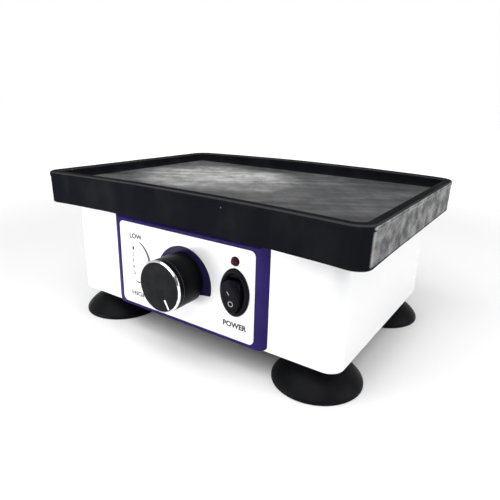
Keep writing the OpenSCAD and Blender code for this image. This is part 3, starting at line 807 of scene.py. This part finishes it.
# Depth of the groove round the grip, behind the face; the grey line in it is a painted highlight.
GREY_LINE = 4.2
SET_SCREW_R = 1.5
SET_SCREW_DEPTH = 9
POINTER_START, POINTER_HALF = 8.2, 0.52
KNOB_STEPS = 128


def knob_place():
    """A place for lathe_rings on the knob's axis, measured from its front."""
    return facing_front(knob_centre_x, knob_centre_z, knob_front)


def grip_r(depth):
    """Radius of the tapered grip at a depth behind the face."""
    length = knob_back - knob_front
    return knob_radius - KNOB_TAPER * (depth - knob_ring_t) / (length - knob_ring_t)


def add_knob_ring():
    """The bright ring round the face, with a wide chamfer towards it."""
    r, back = knob_radius, knob_ring_t - 0.05
    section = [(r - 1.2, 0.5), (r - 1.05, 0.08), (r - 0.9, 0.0), (r - 0.06, 0.75)]
    section += [(r, 0.9), (r, back), (r - 1.2, back)]
    rings = lathe_rings(section, knob_place())
    bright = skinned("knob_bright_ring", rings, finishes["bright_ring"], "knob", "bright_ring", 25, wrap=True)
    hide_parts("knob_ring")


def add_knob_grip():
    """The tapered grip with its bore, the hole of its set screw and a groove that holds a grey line, a
    painted highlight.
    """
    r, ring_t = knob_radius, knob_ring_t
    length = knob_back - knob_front
    groove_r = grip_r(GREY_LINE) - 0.2
    section = [
        (KNOB_BORE_R, 4.0), (KNOB_BORE_R, length - 4), (7.0, length - 4), (7.0, length),
        (r - KNOB_TAPER - 0.5, length), (grip_r(length - 0.5), length - 0.5),
        (grip_r(GREY_LINE + 0.3), GREY_LINE + 0.3), (groove_r, GREY_LINE + 0.25),
        (groove_r, GREY_LINE), (grip_r(GREY_LINE), GREY_LINE - 0.05), (r - 0.02, ring_t + 0.2),
        (r - 0.15, ring_t), (KNOB_BORE_R, ring_t),
    ]
    mesh = bmesh.new()
    skin(mesh, lathe_rings(section, knob_place(), KNOB_STEPS), wrap=True)
    toward = Matrix.Rotation(math.radians(KNOB_REST + 90), 3, "Y") @ Vector((0, 0, 1))
    start = Vector((knob_centre_x, knob_front + SET_SCREW_DEPTH, knob_centre_z))
    mesh = carve(mesh, cylinder_cutter(start + 5 * toward, start + (r + 2) * toward, SET_SCREW_R))
    turned = add_mesh("knob_grip", mesh, finishes["knob"], "knob", 30)
    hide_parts("knob_body")

    # Painted highlight: a grey line all round the groove.
    inner, outer = grip_r(GREY_LINE) - 0.19, grip_r(GREY_LINE) - 0.05
    line = [(inner, GREY_LINE + 0.02), (outer, GREY_LINE + 0.05)]
    line += [(outer, GREY_LINE + 0.18), (inner, GREY_LINE + 0.22)]
    rings = lathe_rings(line, knob_place(), KNOB_STEPS)
    skinned("knob_grey_line", rings, groove_highlight_grey, "knob", "bright_ring", 25, wrap=True)


def add_knob_face():
    """The face, a little behind the ring, with its pointer on the lower right."""
    r, ring_t = knob_radius, knob_ring_t
    cap = [(0, 0.25), (6, 0.25), (r - 1.4, 0.25), (r - 1.24, 0.3), (r - 1.21, 0.4)]
    cap += [(r - 1.21, ring_t), (0, ring_t)]
    face = skinned("knob_cap", lathe_rings(cap, knob_place()), knob_face, "knob", "knob", 25)
    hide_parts("knob_face")

    a = math.radians(KNOB_REST)
    out = Vector((math.sin(a), 0, math.cos(a)))
    across = Vector((out.z, 0, -out.x))
    centre = Vector((knob_centre_x, knob_front, knob_centre_z))
    half, end = POINTER_HALF, r - 1.6
    corners = [(POINTER_START, -half), (8.5, -half - 0.05), (end, -half)]
    corners += [(end, half), (8.5, half + 0.05), (POINTER_START, half)]
    rings = []
    for lift in (0.45, 0.17):
        rings.append([centre + d * out + s * across + Vector((0, lift, 0)) for d, s in corners])
    skinned("knob_pointer", rings, ink_white, "knob", "knob", cap_first=True, cap_last=True)


add_knob_ring()
add_knob_grip()
add_knob_face()


# ---- power switch ----

SWITCH_BODY, SWITCH_BODY_DEPTH = (14, 20), 19
SWITCH_WELL, SWITCH_WELL_DEPTH = (11.8, 18.4), 12
# A high power makes the body and the well rectangles with slightly round corners.
SQUARE_POWER = 14
BEZEL_POWER = 1.9
# The bezel's section from its rim over the crown and down into the dish: how much narrower it is than the
# outline, and its place behind the label.
BEZEL_SECTION = [
    (0.4, 0), (0, -0.15), (0.05, -0.6), (0.8, -1.25), (2.2, -1.75),
    (3.8, -2.0), (4.6, -1.9), (5.8, -1.4), (6.8, -0.7), (7.2, -0.3),
]


def add_switch():
    """Domed oval bezel with the switch body behind it."""
    w, h = switch_high.x - switch_low.x, switch_high.z - switch_low.z

    def ring(size, power, y):
        return [(switch_x + x, label_y + y, switch_z + z) for x, z in superellipse(*size, power)]

    rings = [ring(SWITCH_BODY, SQUARE_POWER, SWITCH_BODY_DEPTH), ring(SWITCH_BODY, SQUARE_POWER, 0)]
    rings += [ring((w - inset, h - inset), BEZEL_POWER, y) for inset, y in BEZEL_SECTION]
    rings += [ring(SWITCH_WELL, SQUARE_POWER, -0.2), ring(SWITCH_WELL, SQUARE_POWER, SWITCH_WELL_DEPTH)]
    look, slot = finishes["black_plastic"], "black_plastic"
    housing = skinned("switch_bezel", rings, look, "housing", slot, 50, cap_first=True, cap_last=True)
    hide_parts("switch_housing")


ROCKER_TILT = math.radians(10)
# Depth of the rocker's pivot behind the label.
ROCKER_PIVOT = 3.0
ROCKER_W = 12.0
ROCKER_H = 21.4
ROCKER_POWER = 1.85
# How far the middle of the rocker's face stands in front of the label.
ROCKER_FRONT = 5.3
# The rocker's edge is round from this share of its outline outwards.
ROCKER_EDGE_START = 0.84
ROCKER_EDGE_R = 1.1
ROCKER_EDGE_STRETCH = 1.6
# The rocker behind its face, before it is tilted: width, height, power of the oval, place behind the label.
ROCKER_BACK = [
    (ROCKER_W - 0.4, ROCKER_H - 0.6, ROCKER_POWER, -2.6),
    (11.0, 16.6, 6, -1.6), (10.6, 16.0, 6, 1.0), (8, 8, 4, 5.5),
]
MARK_ON = (-0.5, 3.0)
MARK_ON_LEAN = math.radians(24)
MARK_OFF = (0.5, -3.8)


def rocker_front(z):
    """Place of the rocker's face before it is tilted: two pads and a shallow valley between them."""
    return -(ROCKER_FRONT + 0.13 * (math.sqrt(z * z + 1) - 1))


def rocker_place(x, y, z):
    """Tilts a point of the level rocker about its pivot."""
    level = Vector((0, y - ROCKER_PIVOT, z))
    tilted = Matrix.Rotation(ROCKER_TILT, 3, "X") @ level
    return (switch_x + x, label_y + ROCKER_PIVOT + tilted.y, switch_z + tilted.z)


def add_rocker():
    """The rocker, whose face is made of ovals that grow from its middle and fall away at its edge."""
    outline = superellipse(ROCKER_W, ROCKER_H, ROCKER_POWER)
    rings = [[rocker_place(0, rocker_front(0), 0)]]
    for share in (0.2, 0.4, 0.6, 0.75, 0.84, 0.89, 0.93, 0.96, 0.985, 1.0):
        fall = min(1.0, max(0.0, (share - ROCKER_EDGE_START) / (1 - ROCKER_EDGE_START)))
        drop = ROCKER_EDGE_R * (1 - math.sqrt(1 - fall * fall)) * ROCKER_EDGE_STRETCH
        rings.append([rocker_place(share * x, rocker_front(share * z) + drop, share * z) for x, z in outline])
    for width, height, power, y in ROCKER_BACK:
        rings.append([rocker_place(x, y, z) for x, z in superellipse(width, height, power)])
    look = finishes["black_plastic"]
    rocker = skinned("rocker_button", rings, look, "rocker", "black_plastic", 40, cap_last=True)
    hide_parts("switch_rocker")


def mark_rings(outline):
    """The front and the back of a mark's edge."""
    front = [rocker_place(x, rocker_front(z) - INK_T, z) for x, z in outline]
    back = [rocker_place(x, rocker_front(z) + 0.2, z) for x, z in outline]
    return front, back


def add_rocker_marks():
    """A leaning bar for on and a ring for off, raised a little on the rocker's face."""
    bar = []
    c, s = math.cos(MARK_ON_LEAN), math.sin(MARK_ON_LEAN)
    for x, z in superellipse(0.5, 2.5, 6, 24):
        bar.append((MARK_ON[0] + (x * c - z * s), MARK_ON[1] + (x * s + z * c)))
    rings = mark_rings(bar)
    skinned("rocker_mark_on", rings, mark_grey, "rocker", "black_plastic", cap_first=True, cap_last=True)

    outer = [(x + MARK_OFF[0], z + MARK_OFF[1]) for x, z in superellipse(3.5, 3.3, 2, 40)]
    inner = [(x + MARK_OFF[0], z + MARK_OFF[1]) for x, z in superellipse(2.75, 2.55, 2, 40)]
    rings = [*mark_rings(outer), *reversed(mark_rings(inner))]
    skinned("rocker_mark_off", rings, mark_grey, "rocker", "black_plastic", wrap=True)


add_switch()
add_rocker()
add_rocker_marks()


# ---- lamp ----

LAMP_LENS_R = 2.15
LAMP_ARC = 8
LAMP_STEPS = 48


def add_lamp():
    """The lamp's domed lens, and the thin black rim round it."""
    place = facing_front(lamp_x, lamp_z, label_y)
    lens = [(0, -2.9)]
    for i in range(1, LAMP_ARC + 1):
        a = math.radians(90 * i / LAMP_ARC)
        lens.append((LAMP_LENS_R * math.sin(a), -0.9 - 2.0 * math.cos(a)))
    lens += [(LAMP_LENS_R, -0.1), (2.3, 0.0), (2.3, 7.8), (0, 7.8)]
    lamp = skinned("lamp_dome", lathe_rings(lens, place, LAMP_STEPS), finishes["lamp"], "housing", "lamp", 40)
    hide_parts("lamp_lens")
    rim = [(2.18, 0.0), (2.18, -0.35), (2.3, -0.5), (2.6, -0.5), (2.82, -0.3), (2.82, 0.0)]
    rings = lathe_rings(rim, place, LAMP_STEPS)
    skinned("lamp_rim", rings, finishes["black_plastic"], "housing", "black_plastic", 40, wrap=True)


add_lamp()


# ---- feet ----


def add_foot(name, node):
    """A suction foot turned round its own axis, with a thin edge and a hollow underside."""
    low, high = box_mm(node)
    cx, cy, top = (low.x + high.x) / 2, (low.y + high.y) / 2, high.z
    r = (high.x - low.x) / 2
    section = [(0, 3.6), (6, 3.55), (12, 3.2), (18, 1.9), (r - 3.4, 0.35), (r - 2.8, 0), (r - 0.35, 0)]
    section += [(r, 0.3), (r, 1.5), (r - 0.25, 2.1), (r - 0.9, 3.1), (r - 2.4, 4.9), (r - 4.2, 6.7)]
    section += [(r - 6.4, 8.5), (r - 9.0, 10.3), (r - 11.8, 12.2), (r - 14.0, 13.9), (r - 15.3, 15.5)]
    section += [(11.1, 17.2), (11.0, top), (3.0, top), (3.0, 10.0), (0, 10.0)]
    rings = lathe_rings(section, lambda across, up, height: (cx + across, cy + up, height))
    foot = skinned(name, rings, finishes["foot_rubber"], "housing", "foot_rubber", 30)
    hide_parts(node)


for corner in ("front_left", "front_right", "back_left", "back_right"):
    add_foot("suction_foot_" + corner, "foot_" + corner)


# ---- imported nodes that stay: finish and rounded edges ----

# Radius of the rounded edges of the larger nodes. All others have a small chamfer.
EDGE_ROUND = {
    "casing_shell": 0.7, "base_plate": 0.4, "front_panel": 0.45, "panel_label": 0.12, "inlet_socket": 0.5,
    "fuse_drawer": 0.4, "platform_plate": 0.4, "chassis_plate": 0.3, "transformer_core": 0.4,
    "transformer_coil": 1.0, "fuse": 0.4, "capacitors": 0.6,
}
PLAIN_ROUND = 0.18
WELD_DISTANCE = 0.002
FLAT_ANGLE = math.radians(0.4)
EDGE_ANGLE = math.radians(35)

for part in frame["record"]["subparts"]:
    piece = nodes[part["node"]]
    piece.data.materials.clear()
    piece.data.materials.append(finishes[part["material_slot"]].material)
    if piece.hide_render:
        continue
    piece.data.polygons.foreach_set("use_smooth", [True] * len(piece.data.polygons))
    weld = piece.modifiers.new("weld", "WELD")
    weld.merge_threshold = WELD_DISTANCE * MM
    flat = piece.modifiers.new("merge flat faces", "DECIMATE")
    flat.decimate_type = "DISSOLVE"
    flat.angle_limit = FLAT_ANGLE
    edge = piece.modifiers.new("rounded edges", "BEVEL")
    edge.width = EDGE_ROUND.get(part["node"], PLAIN_ROUND) * MM
    edge.segments = 3 if part["node"] in EDGE_ROUND else 1
    edge.limit_method = "ANGLE"
    edge.angle_limit = EDGE_ANGLE
    edge.use_clamp_overlap = True
    edge.harden_normals = False
    piece.modifiers.new("even normals", "WEIGHTED_NORMAL")


# ---- floor, lights and world ----

STAGE_HALF = 40.0
# Distance from the part, in metres, at which the table begins to light itself and has its full light.
SELF_LIT = (0.32, 0.9)
SELF_LIGHT = 0.55


def add_stage():
    """The table. The sweep behind and around it is lit by itself, so it stays white into the distance."""
    mesh = bpy.data.meshes.new("floor")
    h = STAGE_HALF
    mesh.from_pydata([(-h, -h, 0), (h, -h, 0), (h, h, 0), (-h, h, 0)], [], [(0, 1, 2, 3)])
    floor = bpy.data.objects.new("floor", mesh)
    scene.collection.objects.link(floor)
    look = {"grain": 300, "depth": 0.02, "blotch": 0.002, "smear": 0.02, "specular": 0.1}
    finish = moulded("floor", (0.88, 0.88, 0.88), 0.85, **look)
    away = finish.tree.nodes.new("ShaderNodeVectorMath")
    away.operation = "LENGTH"
    finish.link(finish.coords.outputs["Object"], away.inputs[0])
    finish.set("Emission Color", (1, 1, 1, 1))
    glow = finish.spread(away.outputs["Value"], *SELF_LIT, 0.0, SELF_LIGHT)
    finish.link(glow, finish.shader.inputs["Emission Strength"])
    mesh.materials.append(finish.material)


# Lights: name, place and target in metres, width, height, and power in watts.
LIGHTS = [
    ("key_left", (-0.55, -0.75, 0.05), (0.0, -0.07, 0.05), 0.35, 0.3, 0.4),
    ("table_glow", (-0.10, -0.25, 0.003), (0.0, -0.085, 0.055), 0.14, 0.08, 0.45),
    ("side_right", (1.1, 0.15, 0.45), (0.1, 0.0, 0.06), 0.8, 0.6, 5.4),
    ("top", (0.05, -0.75, 1.1), (0.0, 0.0, 0.05), 1.6, 1.2, 17),
]


def add_light(name, place, target, width, height, power):
    """A rectangular lamp that points at its target and isn't seen itself."""
    light = bpy.data.lights.new(name, "AREA")
    light.shape = "RECTANGLE"
    light.size, light.size_y = width, height
    light.energy = power
    lamp = bpy.data.objects.new(name, light)
    lamp.location = place
    lamp.visible_camera = False
    lamp.rotation_euler = (Vector(target) - Vector(place)).to_track_quat("-Z", "Y").to_euler()
    scene.collection.objects.link(lamp)


# The surroundings are dimmer towards the front right, where a studio's camera and its black cloth stand.
DIM_TOWARDS = Vector((0.45, -0.88, -0.1))
WORLD_FALL = {"From Min": -0.1, "From Max": 0.75, "To Min": 0.62, "To Max": 0.16}
SEEN_WORLD = 1.0


def add_world():
    """White surroundings, lit unevenly, but plain white where the camera sees them."""
    world = bpy.data.worlds.new("studio")
    scene.world = world
    world.use_nodes = True
    tree = world.node_tree
    background = tree.nodes["Background"]
    background.inputs["Color"].default_value = (1, 1, 1, 1)
    coords = tree.nodes.new("ShaderNodeTexCoord")
    dot = tree.nodes.new("ShaderNodeVectorMath")
    dot.operation = "DOT_PRODUCT"
    dot.inputs[1].default_value = DIM_TOWARDS.normalized()
    tree.links.new(coords.outputs["Generated"], dot.inputs[0])
    fall = tree.nodes.new("ShaderNodeMapRange")
    fall.interpolation_type = "SMOOTHSTEP"
    for name, value in WORLD_FALL.items():
        fall.inputs[name].default_value = value
    tree.links.new(dot.outputs["Value"], fall.inputs["Value"])
    seen = tree.nodes.new("ShaderNodeLightPath")
    mix = tree.nodes.new("ShaderNodeMix")
    tree.links.new(seen.outputs["Is Camera Ray"], mix.inputs["Factor"])
    tree.links.new(fall.outputs["Result"], mix.inputs["A"])
    mix.inputs["B"].default_value = SEEN_WORLD
    tree.links.new(mix.outputs["Result"], background.inputs["Strength"])


add_stage()
add_world()
for light_row in LIGHTS:
    add_light(*light_row)
scene.view_settings.view_transform = "Standard"
scene.view_settings.look = "None"
